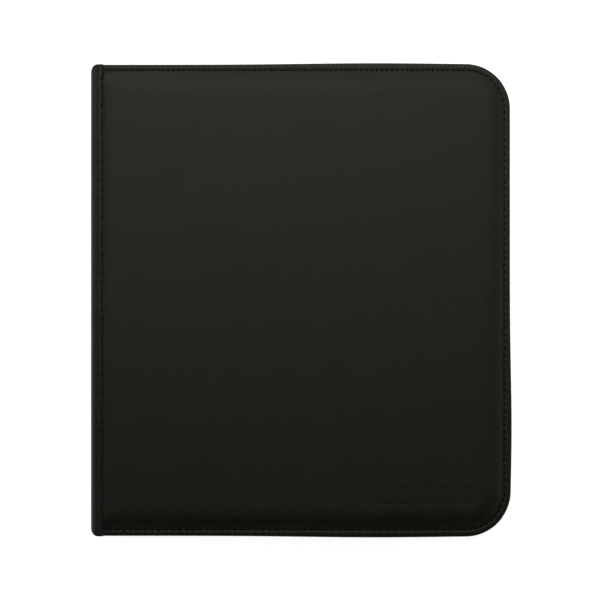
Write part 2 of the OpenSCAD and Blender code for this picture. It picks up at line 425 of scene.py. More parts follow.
def metal_material(name, base_a, base_b):
    """Black-plated die casting: fine orange peel, rubbed brighter on its edges."""
    n = Nodes(name)
    peel = n.noise(1500.0, 2.0)
    rub = n.noise(220.0, 5.0, 0.65)
    scratches = n.noise(700.0, 4.0, coords=n.stretch((0.15, 1.0, 1.0), (0, 0.3, 0.5)))
    bevel = n.attribute("wear")
    base = n.mix(n.ranged(rub, 0.42, 0.62, 0.0, 1.0), base_a, base_b)
    base = n.mix(n.maths("MULTIPLY", bevel, 0.45), base, (0.24, 0.235, 0.22))
    rough = n.ranged(scratches, 0.35, 0.65, 0.26, 0.42)
    return n.finish(base, rough, n.bump(peel, 0.00006, 0.35), Metallic=0.9)


def board_material():
    """Greyboard: pressed fibres with darker flecks."""
    n = Nodes("greyboard_fibre")
    fibre = n.noise(340.0, 5.0, 0.7, n.stretch((1.0, 3.0, 1.0)))
    flecks = n.noise(1200.0, 1.0)
    base = n.mix(fibre, (0.18, 0.16, 0.13), (0.36, 0.33, 0.28))
    base = n.mix(n.ranged(flecks, 0.68, 0.78, 0.0, 0.6), base, (0.07, 0.06, 0.05))
    return n.finish(base, n.ranged(fibre, 0.3, 0.7, 0.8, 0.95), n.bump(fibre, 0.0002, 0.5))


def foam_material():
    """Open-cell padding foam."""
    n = Nodes("padding_foam")
    cells = n.voronoi(900.0)
    wash = n.noise(30.0, 3.0)
    base = n.mix(wash, (0.52, 0.51, 0.46), (0.72, 0.71, 0.66))
    return n.finish(base, n.ranged(cells, 0.0, 0.4, 0.98, 0.85), n.bump(cells, 0.0004, 0.7),
                    Subsurface_Weight=0.1)


def core_material():
    """Black polypropylene core and weld seams: fine crosshatch emboss."""
    n = Nodes("page_core")
    hatch = n.maths("MULTIPLY", n.wave(330.0, "X"), n.wave(330.0, "Y"))
    grease = n.noise(18.0, 4.0)
    base = n.mix(grease, (0.030, 0.030, 0.031), (0.045, 0.045, 0.047))
    return n.finish(base, n.ranged(grease, 0.3, 0.7, 0.45, 0.55), n.bump(hatch, 0.00015, 0.6))


def film_material():
    """Clear pocket film lying on the black core: glossy, with slight drag ripples and haze."""
    n = Nodes("pocket_film")
    ripple = n.noise(22.0, 3.0, coords=n.stretch((1.0, 2.4, 1.0)))
    haze = n.noise(35.0, 4.0)
    base = n.mix(haze, (0.008, 0.008, 0.009), (0.020, 0.021, 0.023))
    rough = n.ranged(haze, 0.3, 0.7, 0.15, 0.2)
    return n.finish(base, rough, n.bump(ripple, 0.0005, 0.15), IOR=1.48, Coat_Weight=0.3,
                    Coat_Roughness=0.12)


LEATHER = leatherette("cover_leatherette", (0.0042, 0.0044, 0.0022), (0.0068, 0.0070, 0.0040),
                      0.28, 0.31)
WRAP = leatherette("spine_leatherette", (0.0045, 0.0047, 0.0045), (0.0085, 0.0087, 0.0086),
                   0.36, 0.46, 0.00012, (1.0, 1.0, 0.97, 1.0))
LINING = cloth("lining_cloth", (0.005, 0.005, 0.0055), (0.020, 0.020, 0.021), 0.0006)
TAPE = zip_tape_material()
THREAD = thread_material()
NYLON = nylon_material()
SLIDER_METAL = metal_material("slider_black_plate", (0.020, 0.020, 0.021), (0.045, 0.044, 0.043))
STOP_METAL = metal_material("stop_black_plate", (0.015, 0.015, 0.015), (0.04, 0.04, 0.04))
BOARD = board_material()
FOAM = foam_material()
CORE = core_material()
FILM = film_material()

# ---------- padded covers ----------

MOTIF_CARDS = 5
MOTIF_PITCH = 14.6
MOTIF_CARD = (8.6, 11.4)
MOTIF_AT = (90.6, -142.4)
MOTIF_DEPTH = 0.12
MOTIF_LINE = 0.55
EDGE_R = 1.25
SKIN_LO_Z = SKIN_LO[2] + 0.02
EDGE_DROP = 0.95
NEEDLE_SWELL = 0.24
PANEL_INSET = 5.35
PANEL_FOOT = 5.3
FOOT_RISE, FOOT_W = 0.4, 0.8
CROWN_RISE, CROWN_W = 2.95, 12.5
PANEL_STEP = 4.0
MOTIF_STEP = 0.42


def inset_at(x, y, lift=0.0):
    """Distance in from the nearest edge, where the panel's spine side counts as BORDER_W plus a lift."""
    r = CORNER_R
    qx, qy = x - (FORE_X - r), abs(y) - (HALF_H - r)
    if qx > 0 and qy > 0:
        free = r - math.hypot(qx, qy)
    else:
        free = min(FORE_X - x, HALF_H - abs(y))
    return min(free, x - PANEL_X + BORDER_W + lift)


def panel_height(x, y, relief):
    """Height of the crowned panel, which starts high on the spine side, level with the seam strip."""
    return BORDER_Z - 0.2 + crown(inset_at(x, y, SPINE_LIFT)) + relief


def motif_groove(x, y):
    """Depth of the blind-pressed row of plain card outlines."""
    depth = 0.0
    for i in range(MOTIF_CARDS):
        cx = MOTIF_AT[0] + (i - (MOTIF_CARDS - 1) / 2) * MOTIF_PITCH
        qx = abs(x - cx) - (MOTIF_CARD[0] / 2 - 1.2)
        qy = abs(y - MOTIF_AT[1]) - (MOTIF_CARD[1] / 2 - 1.2)
        out = math.hypot(max(qx, 0), max(qy, 0)) + min(max(qx, qy), 0) - 1.2
        depth = max(depth, MOTIF_DEPTH * math.exp(-(out / MOTIF_LINE) ** 2))
    return depth


def crown(d):
    """Rise of the padded panel by inset: a short step at its foot, then a wide soft shoulder."""
    u = max(d - PANEL_INSET, 0.0)
    step = FOOT_RISE * (1 - math.exp(-u / FOOT_W))
    return step + CROWN_RISE * (1 - max(0.0, 1 - u / CROWN_W) ** 2)


def border(d, pucker):
    """Height of the flat stitched border at an inset, with a pucker at each needle hole."""
    if d < EDGE_R:
        return BORDER_Z - EDGE_DROP * (1 - math.sqrt(max(0.0, 1 - (1 - d / EDGE_R) ** 2)))
    groove = math.exp(-((d - STITCH_D) / 0.5) ** 2)
    swell = NEEDLE_SWELL * math.sin(math.pi * min(1.0, (d - EDGE_R) / 3.0)) * (1 - 0.5 * pucker)
    return BORDER_Z + swell - groove * (0.02 + 0.2 * pucker)


def ring_points(d, left, counts, r_left):
    """Closed outline at an inset, with the same number of points at any inset."""
    n_run, n_arc, n_fore, n_left, n_bit = counts
    x1, y1, r = FORE_X - d, HALF_H - d, CORNER_R - d
    pts = []

    def line(a, b, n):
        for t in np.linspace(0, 1, n, endpoint=False):
            pts.append((a[0] + (b[0] - a[0]) * t, a[1] + (b[1] - a[1]) * t))

    def arc(cx, cy, rad, a0, a1, n):
        for t in np.linspace(0, 1, n, endpoint=False):
            a = math.radians(a0 + (a1 - a0) * t)
            pts.append((cx + rad * math.cos(a), cy + rad * math.sin(a)))

    line((left + r_left, y1), (x1 - r, y1), n_run)
    arc(x1 - r, y1 - r, r, 90, 0, n_arc)
    line((x1, y1 - r), (x1, -(y1 - r)), n_fore)
    arc(x1 - r, -(y1 - r), r, 0, -90, n_arc)
    line((x1 - r, -y1), (left + r_left, -y1), n_run)
    arc(left + r_left, -(y1 - r_left), r_left, -90, -180, n_bit)
    line((left, -(y1 - r_left)), (left, y1 - r_left), n_left)
    arc(left + r_left, y1 - r_left, r_left, 180, 90, n_bit)
    return pts


def edge_run(x, y):
    """Distance along the free edges, from the head's spine end, of the place nearest to a point."""
    qx, qy = x - (FORE_X - CORNER_R), abs(y) - (HALF_H - CORNER_R)
    head = y > 0
    if qx > 0 and qy > 0:
        along = CORNER_R * math.atan2(qx, qy)
        return HEAD_RUN + along if head else HEAD_RUN + 2 * ARC_RUN + FORE_RUN - along
    if FORE_X - x < HALF_H - abs(y):
        return HEAD_RUN + ARC_RUN + HALF_H - CORNER_R - y
    along = x - SEAM_START
    return along if head else 2 * (HEAD_RUN + ARC_RUN) + FORE_RUN - along


def stitch_count(run):
    """Stitches up to a place on the seam: the head was sewn with shorter ones."""
    return min(run, HEAD_RUN) / HEAD_PITCH + max(run - HEAD_RUN, 0.0) / SIDE_PITCH


END_WANDER = (1.15, 55, 75)
FORE_WANDER = (1.25, -92, 55)


def wander(setting, along):
    """Swell of an edge round a place on it, from (how far, where, how wide)."""
    size, place, spread = setting
    return size * math.exp(-((along - place) / spread) ** 2)


def stretched(x, y, d):
    """The border's edge wanders outwards from its cut line, as sewn leatherette does."""
    k = max(0.0, 1 - d / BORDER_W)
    if FORE_X - x > 6:
        y += math.copysign(k * wander(END_WANDER, x), y)
    if x > FORE_X - 40:
        x += k * wander(FORE_WANDER, y)
    return x, y


UNEVEN_WAVES = ((0.021, 0.013, 0.3), (0.045, 0.037, 1.9), (0.083, -0.061, 4.1),
                (0.15, 0.11, 2.2), (-0.23, 0.19, 5.0))


def soft_noise(x, y, seed):
    """Slow unevenness of glued leatherette, with no unit: a sum of waves."""
    s = 0.0
    for k, (fx, fy, p) in enumerate(UNEVEN_WAVES):
        s += math.sin(fx * x * 2 + fy * y * 2 + p + seed * 1.7 * (k + 1)) / (1.4 + k)
    return s


def build_cover(side):
    """The leatherette of one cover: rolled edge, stitched border and crowned panel."""
    seed = 0.0 if side == "front" else 2.6
    counts = (262, 50, 280, 70, 3)
    insets = [0.0, 0.0, 0.12, 0.35, 0.65, 1.0, 1.6, 2.4, 3.2, 3.8, 4.2, 4.5, 4.75, 4.95, 5.15, 5.35,
              5.6, 5.85, 6.1, 6.4, 6.8, 7.3, 8.0, 9.0, 10.2, 11.6]
    left0 = SKIN_LO[0]
    verts, wear = [], []
    for k, d in enumerate(insets):
        d_left = d * (PANEL_X - left0) / BORDER_W if d < BORDER_W else d - BORDER_W + PANEL_X - left0
        r_left = 0.4 if d < BORDER_W else 0.4 + (d - BORDER_W) * 0.4
        ring = ring_points(d, left0 + d_left, counts, r_left)
        for x, y in ring:
            pucker = 0.5 + 0.5 * math.cos(2 * math.pi * stitch_count(edge_run(x, y)))
            if k == 0:
                z = SKIN_LO_Z
            elif d <= PANEL_INSET:
                z = border(d, pucker)
                if x < PANEL_X - 0.2:
                    z = min(z, BORDER_Z - 0.03)
            else:
                rise = min(1, (d - PANEL_FOOT) / 4)
                z = panel_height(x, y, 0.05 * soft_noise(x, y, seed) * rise)
                z -= 0.14 * pucker * math.exp(-(d - PANEL_FOOT) / 1.1)
            verts.append((*stretched(x, y, d), flip(side, z)))
            edge = math.exp(-((d - 0.5) / 0.5) ** 2)
            shoulder = math.exp(-((d - 7.2) / 1.1) ** 2)
            wear.append(0.55 * edge + 0.16 * shoulder)
    n = len(ring)
    faces = grid_faces(len(insets), n, closed_cols=True)
    base = (len(insets) - 1) * n
    points = [Vector(p) for p in ring]
    xs0, xs1 = min(p[0] for p in ring), max(p[0] for p in ring)
    ys0, ys1 = min(p[1] for p in ring), max(p[1] for p in ring)
    limit = insets[-1] + 1.4
    mx, my = MOTIF_PITCH * MOTIF_CARDS / 2 + 1, MOTIF_CARD[1] / 2 + 3

    def near_motif(x, y, grow):
        return side == "front" and abs(x - MOTIF_AT[0]) < mx + grow and abs(y - MOTIF_AT[1]) < my + grow

    for x in np.arange(xs0 + 2, xs1, PANEL_STEP):
        for y in np.arange(ys0 + 2, ys1, PANEL_STEP):
            if inset_at(x, y) > limit and not near_motif(x, y, 0.3):
                points.append(Vector((x, y)))
    if side == "front":
        for x in np.arange(MOTIF_AT[0] - mx, MOTIF_AT[0] + mx, MOTIF_STEP):
            for y in np.arange(MOTIF_AT[1] - my, MOTIF_AT[1] + my, MOTIF_STEP):
                if inset_at(x, y) > insets[-1] + 0.4:
                    points.append(Vector((x, y)))
    edges = [(i, (i + 1) % n) for i in range(n)]
    out, _, tris, origins, _, _ = delaunay_2d_cdt(points, edges, [], 1, 1e-5)
    index = {}
    for j, (co, was) in enumerate(zip(out, origins)):
        if was and was[0] < n:
            index[j] = base + was[0]
            continue
        z = panel_height(co.x, co.y, 0.05 * soft_noise(co.x, co.y, seed))
        if side == "front":
            z -= motif_groove(co.x, co.y)
        index[j] = len(verts)
        verts.append((co.x, co.y, flip(side, z)))
        wear.append(0.0)
    faces += [tuple(index[i] for i in t) for t in tris]
    faces.append(tuple(range(n)))
    obj = add_object(f"{side}_cover_leatherette", verts, faces, LEATHER, sharp_deg=70)
    store_wear(obj, wear)
    fasten(obj, BODIES[side], "leatherette", f"{side}_skin")


def build_padding(side):
    """The foam under the leatherette, crowned with it and tapered at its edge."""
    lo, hi = box_mm(f"{side}_padding")
    z0 = lo[2] if side == "front" else TOP - hi[2]
    counts = (40, 12, 40, 30, 3)
    insets = [8.1, 8.2, 8.8, 9.8, 11.5, 14.0]
    rings = []
    for k, d in enumerate(insets):
        z = z0 if k == 0 else max(BORDER_Z - 0.2 + crown(d) - 0.95, z0 + 0.1 * k)
        outline = ring_points(d, PANEL_X + d - BORDER_W, counts, 0.5 + 0.2 * k)
        rings.append([(x, y, flip(side, z)) for x, y in outline])
    obj = add_object(f"{side}_padding_foam", *capped_tube(rings), FOAM)
    fasten(obj, BODIES[side], "foam", f"{side}_padding")


def build_lining(side):
    """The cloth glued inside a cover, turned over at its edge."""
    z0, z1 = LINING_LO[2], LINING_HI[2]
    counts = (60, 16, 60, 40, 3)
    layers = [(0.55, z1 - 0.02), (0.4, z1 - 0.1), (0.4, z0 + 0.15), (0.5, z0 + 0.04), (0.75, z0), (3.0, z0)]
    rings = []
    for d, z in layers:
        outline = ring_points(d, LINING_LO[0] + d - 0.4, counts, 0.4)
        rings.append([(*stretched(x, y, d), flip(side, z)) for x, y in outline])
    obj = add_object(f"{side}_cover_lining", *capped_tube(rings), LINING, sharp_deg=60)
    fasten(obj, BODIES[side], "lining_cloth", f"{side}_lining")


# ---------- stitches ----------


def stitch(parts, start, end, normal, radius=0.26, rise=0.22):
    """One visible stitch: thread that dives into the leather at both ends."""
    start, end, normal = (np.asarray(v, float) for v in (start, end, normal))
    pts, radii = [], []
    for t in (0.0, 0.06, 0.16, 0.34, 0.5, 0.66, 0.84, 0.94, 1.0):
        h = rise * (1 - (2 * t - 1) ** 4) - 0.16
        pts.append(start + (end - start) * t + normal * h)
        radii.append(radius * (0.72 + 0.28 * math.sin(math.pi * t)))
    parts.add(*rod(pts, radii, 6))


def edge_stitches(side):
    """The seam round the three free edges, on the border and on the zip tape's hem."""
    up = 1 if side == "front" else -1
    path = free_edge(SEAM_START, 0.5)
    total = path[-1, 4]
    holes, run = [0.0], 0.0
    while run < total:
        run += HEAD_PITCH if run < HEAD_RUN - 1 else SIDE_PITCH
        holes.append(min(run, total))
    for face, name in (("outer", "seam"), ("inner", "bobbin_seam")):
        parts = Parts()
        z = BORDER_Z - 0.08 if face == "outer" else TAPE_HI[2] - 0.6 + 0.02
        normal = (0, 0, up if face == "outer" else -up)
        for hole, following in zip(holes, holes[1:]):
            pitch = following - hole
            a, b = hole + 0.24 * pitch, following - 0.24 * pitch
            ends = []
            for s, drift in ((a, -0.07), (b, 0.07)):
                x, y, nx, ny = (np.interp(s, path[:, 4], path[:, c]) for c in range(4))
                d = STITCH_D + drift + random.uniform(-0.04, 0.04)
                ends.append((x + nx * d, y + ny * d, flip(side, z)))
            stitch(parts, ends[0], ends[1], normal, 0.46, 0.42)
        obj = parts.make(f"{side}_border_{name}", THREAD)
        fasten(obj, BODIES[side], "thread", f"{side}_edge_thread")


def spine_stitches(side):
    """The seam that holds the spine's leatherette on a cover, outside and inside."""
    up = 1 if side == "front" else -1
    x = SPINE_X + SPINE_SEAM_X
    count = round(2 * SPINE_SEAM_HALF / SPINE_PITCH)
    for face, z, normal in (("outer", TOP - 1.1, up), ("inner", LINING_LO[2] + 0.02, -up)):
        parts = Parts()
        for i in range(count):
            y = -SPINE_SEAM_HALF + (i + 0.5) * 2 * SPINE_SEAM_HALF / count
            half = SPINE_PITCH * 0.25
            jitter = random.uniform(-0.05, 0.05)
            stitch(parts, (x - 0.06 + jitter, y - half, flip(side, z)),
                   (x + 0.06 + jitter, y + half, flip(side, z)), (0, 0, normal), 0.44, 0.36)
        obj = parts.make(f"{side}_spine_seam_{face}", THREAD)
        fasten(obj, BODIES[side], "thread", f"{side}_spine_thread")


# ---------- spine leatherette and inner hinge ----------


def y_end(x):
    """Half length of the spine's leatherette at a distance from the spine's outer face."""
    r = SPINE_CORNER_R
    if x >= r:
        return HALF_H
    return HALF_H - r + math.sqrt(max(0.0, r * r - (r - max(x, 0.0)) ** 2))


def arc_points(cx, cz, r, a0, a1, n):
    angles = np.radians(np.linspace(a0, a1, n))
    return [(cx + r * math.cos(a), cz + r * math.sin(a)) for a in angles]


def strip_mesh(side, outer, inner, pucker, step, shorten=0.0):
    """Sheet along the spine between two lines of (distance from its face, height over the top)."""
    n = len(outer)
    section = np.array(list(outer) + list(inner)[::-1], float)
    middle = (section[:n] + section[n:][::-1]) / 2
    middle = np.concatenate([middle, middle[::-1]])
    count = round(2 * HALF_H / step)
    rounded = [(-1, 0.0, 0.45), (-1, 0.12, 0.78), (-1, 0.4, 1.0)]
    stations = rounded + [(-1 + 2 * k / count, 0.0, 1.0) for k in range(1, count)]
    stations += [(1, cut, thick) for _, cut, thick in rounded[::-1]]
    rings = []
    for t, cut, thick in stations:
        ring = []
        points = middle + (section - middle) * thick
        for j, (x, z) in enumerate(points):
            y = t * (y_end(x) - shorten - cut)
            dz = pucker(x, z, y) if j < n else 0.0
            ring.append((SPINE_X + x, y, flip(side, TOP + z + dz)))
        rings.append(ring)
    return capped_tube(rings)


SPINE_ROWS = (1, 0.8, 0.6, 0.42, 0.3)


def build_wrap(side):
    """Leatherette from mid-spine over the roll, down into the groove and under the spine seam."""
    mid = -TOP / 2
    outer = [(0, mid * k) for k in SPINE_ROWS]
    outer += arc_points(ROLL, -ROLL, ROLL, 180, 90, 15)
    outer += [(4.28, -0.03), (4.56, -0.1), (4.86, -0.22), (5.16, -0.38), (5.46, -0.55), (5.76, -0.69),
              (6.06, -0.77), (6.4, -0.8), (6.8, -0.8), (7.2, -0.8), (7.6, -0.86), (7.9, -0.97),
              (8.1, -1.02), (8.3, -0.97), (8.55, -0.88), (8.85, -0.87), (9.08, -0.93), (9.22, -1.15)]
    inner = [(0.8, mid * k) for k in SPINE_ROWS]
    inner += arc_points(ROLL, -ROLL, ROLL - 0.8, 180, 90, 15)
    inner += [(4.0, -0.9), (4.02, -1.1), (4.04, -1.4), (4.05, -1.8), (4.06, -2.3), (4.1, -2.8),
              (4.4, -3.12)]
    inner += [(x, -3.15) for x in (5.8, 6.5, 7.2, 7.6, 7.9, 8.1, 8.3, 8.55, 8.85)]
    inner += [(9.08, -3.1), (9.18, -2.9)]

    def pucker(x, z, y):
        wave = 0.5 + 0.5 * math.cos(2 * math.pi * (y + SPINE_SEAM_HALF) / SPINE_PITCH)
        seam = math.exp(-((x - SPINE_SEAM_X) / 0.7) ** 2)
        fold = math.exp(-((x - 5.9) / 0.6) ** 2) * (z > -3)
        sag = 0.05 * math.sin(y * 0.061 + 1) * (x > 0.5) * (x < 4.2)
        return -0.1 * wave * seam - 0.05 * wave * fold + sag - 0.04 * (x > 0.5) * (x < 4.2)

    sheet = strip_mesh(side, outer, inner, pucker, 1.36)
    obj = add_object(f"{side}_spine_wrap", *sheet, WRAP, sharp_deg=60)
    values = []
    for v in obj.data.vertices:
        x = v.co.x / MM - SPINE_X
        values.append(0.5 * math.exp(-((x - 1.6) / 1.3) ** 2) * (abs(v.co.z / MM - TOP / 2) > 12))
    store_wear(obj, values)
    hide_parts(f"{side}_hinge_strip", "spine_skin")
    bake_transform(obj)


def build_turn_in(end):
    """The spine's leatherette folded over one end of its board and glued down inside."""
    board_lo, board_hi = box_mm("spine_board")
    x0, x1 = LO[0] + 0.82, box_mm("spine_lining")[0][0] - 0.04
    y_board, y_out = board_hi[1] + 0.05, y_end(0) - 0.1
    rings = []
    for k in range(21):
        z = board_lo[2] + (board_hi[2] - board_lo[2]) * k / 20
        bow = 0.12 * math.sin(k * 1.9) + 0.25 * abs(k / 10 - 1) ** 6
        ring = [(x0, y_board, z), (x0, y_out - 0.25 - bow, z), (x0 + 0.3, y_out - bow, z),
                (x1 - 0.7, y_out - 0.08 - bow, z), (x1 - 0.2, y_out - 0.4 - bow, z),
                (x1, y_out - 1.0 - bow, z), (x1, y_board, z)]
        rings.append([(x, end * y, z) for x, y, z in ring])
    name = "spine_turn_in_" + ("head" if end > 0 else "foot")
    obj = add_object(name, *capped_tube(rings), WRAP, sharp_deg=60)
    fasten(obj, "spine", "spine_leatherette", "spine_skin")


def build_inner_hinge(side):
    """Lining pressed into the hinge: from a cover's lining round inside the roll and down the spine."""
    mid = -TOP / 2
    t = 0.35
    line = [(3.6, mid * k) for k in SPINE_ROWS[:4]]
    line += [(3.58, -5.6), (3.45, -5.2), (3.1, -4.85), (2.5, -4.62), (2.0, -4.5), (1.55, -4.3),
             (1.3, -3.95), (1.28, -3.4), (1.45, -2.8), (1.8, -2.2), (2.3, -1.75), (2.85, -1.5),
             (3.3, -1.5), (3.6, -1.75), (3.74, -2.3), (3.78, -3.0), (3.85, -3.7), (4.1, -4.25),
             (4.6, -4.52), (5.3, -4.6), (6.2, -4.62)]
    line = np.array(line)
    tangent = np.gradient(line, axis=0)
    tangent /= np.linalg.norm(tangent, axis=1)[:, None]
    normal = np.column_stack([-tangent[:, 1], tangent[:, 0]])
    outer = line + normal * t / 2
    inner = line - normal * t / 2
    sheet = strip_mesh(side, outer, inner, lambda x, z, y: 0.0, 6.0, 7.2)
    obj = add_object(f"{side}_hinge_lining", *sheet, LINING, sharp_deg=60)
    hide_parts("spine_lining")
    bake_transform(obj)


# ---------- zip ----------


def build_tape(side):
    """Zip tape: sewn hem, turn and standing wall, with the slight ripple of a sewn tape."""
    wall = BORDER_W
    top = TAPE_HI[2]
    low = COIL_HI[2] - 1.5
    profile = [(1.2, top), (1.15, top - 0.3), (1.3, top - 0.58), (3.0, top - 0.6), (wall - 0.5, top - 0.62),
               (wall - 0.12, top - 0.8), (wall, top - 1.3), (wall, top - 4), (wall, top - 7),
               (wall, top - 10), (wall + 0.02, low + 0.2), (wall + 0.15, low), (wall + 0.55, low),
               (wall + 0.68, low + 0.2), (wall + 0.7, top - 10), (wall + 0.7, top - 7),
               (wall + 0.7, top - 4), (wall + 0.7, top - 1.0), (wall + 0.7, top), (3.0, top)]

    def ripple(run, d, z):
        lift = np.clip((top - z) / 11.0, 0, 1) * np.clip(((z - low) / 3.0), 0, 1)
        wave = 0.16 * math.sin(run * 0.115) + 0.1 * math.sin(run * 0.047 + 1.3)
        return d + lift * wave, z

    verts, faces = sweep_edge(profile, TAPE_LO[0], 3.0, side, ripple)
    obj = add_object(f"{side}_zip_tape_woven", verts, faces, TAPE, sharp_deg=50)
    fasten(obj, BODIES[side], "zip_tape", f"{side}_zip_tape", f"{side}_zip_hem")


COIL_PITCH = 1.55
WIRE_R = 0.27


def build_coil(side, phase):
    """One half of the nylon coil: a flattened spiral sewn along the tape, with its filler cord."""
    path = free_edge(COIL_LO[0] + 0.4, 0.25)
    total = path[-1, 4]
    if side == "front":
        stop = box_mm("slider_body")[1][0] + 1.2
        total -= stop + WIRE_R - (COIL_LO[0] + 0.4)
    centre_d = BORDER_W + 0.35
    low, high = TOP / 2 - 0.03, COIL_HI[2]
    centre_z, half_z = (low + high) / 2, (high - low) / 2 - WIRE_R
    half_d = 1.1 - WIRE_R
    per_turn = 12
    turns = int(total / COIL_PITCH) - 1
    s = np.linspace(0.3, turns * COIL_PITCH, turns * per_turn)
    angle = 2 * math.pi * (s / COIL_PITCH + phase)
    x, y, nx, ny = (np.interp(s, path[:, 4], path[:, c]) for c in range(4))
    d = centre_d + half_d * np.cos(angle) * (1 - 0.15 * np.sin(angle) ** 2)
    z = centre_z + half_z * np.sin(angle)
    z = np.array([flip(side, v) for v in z])
    parts = Parts()
    parts.add(*rod(np.column_stack([x + nx * d, y + ny * d, z]), WIRE_R, 5))
    keep = slice(None, None, per_turn)
    cord_z = np.array([flip(side, v) for v in np.full(len(s), centre_z + 0.35)])
    cord = np.column_stack([x + nx * (centre_d - 0.1), y + ny * (centre_d - 0.1), cord_z])[keep]
    parts.add(*rod(cord, 0.42, 6))
    obj = parts.make(f"{side}_zip_coil_spiral", NYLON)
    fasten(obj, BODIES[side], "coil_nylon", f"{side}_zip_coil")


def bevel_block(parts, lo, hi, bevel):
    """Box with chamfered edges."""
    lo, hi = np.asarray(lo, float), np.asarray(hi, float)
    b = min(bevel, *(0.45 * (hi - lo)))
    rings = []
    for z, inset in ((lo[2], b), (lo[2] + b, 0.0), (hi[2] - b, 0.0), (hi[2], b)):
        x0, x1, y0, y1 = lo[0] + inset, hi[0] - inset, lo[1] + inset, hi[1] - inset
        c = b * 0.8 if inset == 0.0 else b * 0.5
        rings.append([(x0 + c, y0, z), (x1 - c, y0, z), (x1, y0 + c, z), (x1, y1 - c, z),
                      (x1 - c, y1, z), (x0 + c, y1, z), (x0, y1 - c, z), (x0, y0 + c, z)])
    parts.add(*capped_tube(rings))


def plate(parts, outline, y0, y1, bevel=0.25):
    """Plate cut to an outline of (x, z) points, with both faces' edges chamfered."""
    outline = np.asarray(outline, float)
    middle = outline.mean(axis=0)
    rings = []
    for y, k in ((y0, bevel), (y0 + math.copysign(bevel, y1 - y0), 0.0),
                 (y1 - math.copysign(bevel, y1 - y0), 0.0), (y1, bevel)):
        size = np.abs(outline - middle).max(axis=0)
        scaled = middle + (outline - middle) * (1 - k / size)
        rings.append([(x, y, z) for x, z in scaled])
    parts.add(*capped_tube(rings))


def smooth_outline(points):
    """Closed outline rounded by cutting its corners three times."""
    pts = np.asarray(points, float)
    for _ in range(3):
        nxt = np.roll(pts, -1, axis=0)
        pts = np.stack([0.8 * pts + 0.2 * nxt, 0.2 * pts + 0.8 * nxt], 1).reshape(-1, 2)
    return pts


def mark_wear(obj, degrees=25):
    """Marks the points with a sharp edge, so that the plating looks rubbed there."""
    bm = bmesh.new()
    bm.from_mesh(obj.data)
    values = []
    for v in bm.verts:
        angle = max([e.calc_face_angle(0) for e in v.link_edges if len(e.link_faces) == 2] or [0])
        values.append(1.0 if angle > math.radians(degrees) else 0.0)
    bm.free()
    store_wear(obj, values)


def build_slider():
    """Die-cast slider: two shield-shaped plates, lips, wedge, bridge, and the pull that hangs in it."""
    lo, hi = box_mm("slider_body")
    bridge_lo, bridge_hi = box_mm("slider_bridge")
    pull_lo, pull_hi = box_mm("slider_pull")
    zc, xc = (lo[2] + hi[2]) / 2, (lo[0] + hi[0]) / 2
    hl, hh = (hi[0] - lo[0]) / 2, (hi[2] - lo[2]) / 2
    shape = [(-hl, -hh * 0.68), (-hl * 0.3, -hh * 0.76), (hl * 0.35, -hh), (hl * 0.9, -hh), (hl, -hh * 0.55),
             (hl * 0.94, 0), (hl, hh * 0.55), (hl * 0.9, hh), (hl * 0.35, hh), (-hl * 0.3, hh * 0.76),
             (-hl, hh * 0.68), (-hl * 0.96, 0)]
    outline = smooth_outline([(xc + a, zc + b) for a, b in shape])
    parts = Parts()
    t = 1.1
    plate(parts, outline, lo[1], lo[1] + t)
    plate(parts, outline, hi[1] - t, hi[1])
    inner, outer = hi[1] - t, lo[1] + t
    yc = (lo[1] + hi[1]) / 2
    for edge in (-1, 1):
        z_out = zc + edge * hh * 0.98
        z_in = zc + edge * (hh - 1.0)
        for y_a, y_b in ((outer - 0.2, yc - 0.65), (yc + 0.65, inner + 0.2)):
            bevel_block(parts, (xc + hl * 0.25, y_a, min(z_out, z_in)), (hi[0] - 0.5, y_b, max(z_out, z_in)),
                        0.15)
    wedge = [(hi[0] - 3.4, zc), (hi[0] - 1.6, zc - 0.3), (hi[0] - 0.7, zc - 0.3), (hi[0] - 0.7, zc + 0.3),
             (hi[0] - 1.6, zc + 0.3)]
    for y_a, y_b in ((outer - 0.2, yc - 1.2), (yc + 1.2, inner + 0.2)):
        plate(parts, wedge, y_a, y_b, 0.05)
    body = parts.make("slider_casting", SLIDER_METAL, sharp_deg=28)
    mark_wear(body)
    fasten(body, "slider", "slider_metal", "slider_body")

    parts = Parts()
    foot_y, crown_y = bridge_hi[1] + 0.25, bridge_lo[1]
    line = []
    for k in range(25):
        a = math.pi * k / 24
        bulge = abs(math.sin(a)) ** 0.45
        line.append((xc - (bridge_hi[0] - xc - 0.5) * math.cos(a),
                     foot_y + (crown_y + 0.35 - foot_y) * bulge))
    rings = []
    half_w = (bridge_hi[2] - bridge_lo[2]) / 2
    for k, (x, y) in enumerate(line):
        a, b = line[max(k - 1, 0)], line[min(k + 1, 24)]
        tx, ty = b[0] - a[0], b[1] - a[1]
        size = math.hypot(tx, ty)
        nx, ny = -ty / size, tx / size
        ring = []
        for p in range(12):
            ang = 2 * math.pi * p / 12
            u = 0.34 * math.copysign(abs(math.cos(ang)) ** 0.6, math.cos(ang))
            w = half_w * math.copysign(abs(math.sin(ang)) ** 0.6, math.sin(ang))
            ring.append((x + nx * u, y + ny * u, zc + w))
        rings.append(ring)
    parts.add(*capped_tube(rings))
    arch = parts.make("slider_crown", SLIDER_METAL)
    mark_wear(arch, 60)
    fasten(arch, "slider", "slider_metal", "slider_bridge")

    build_pull(pull_lo, pull_hi, xc, zc)


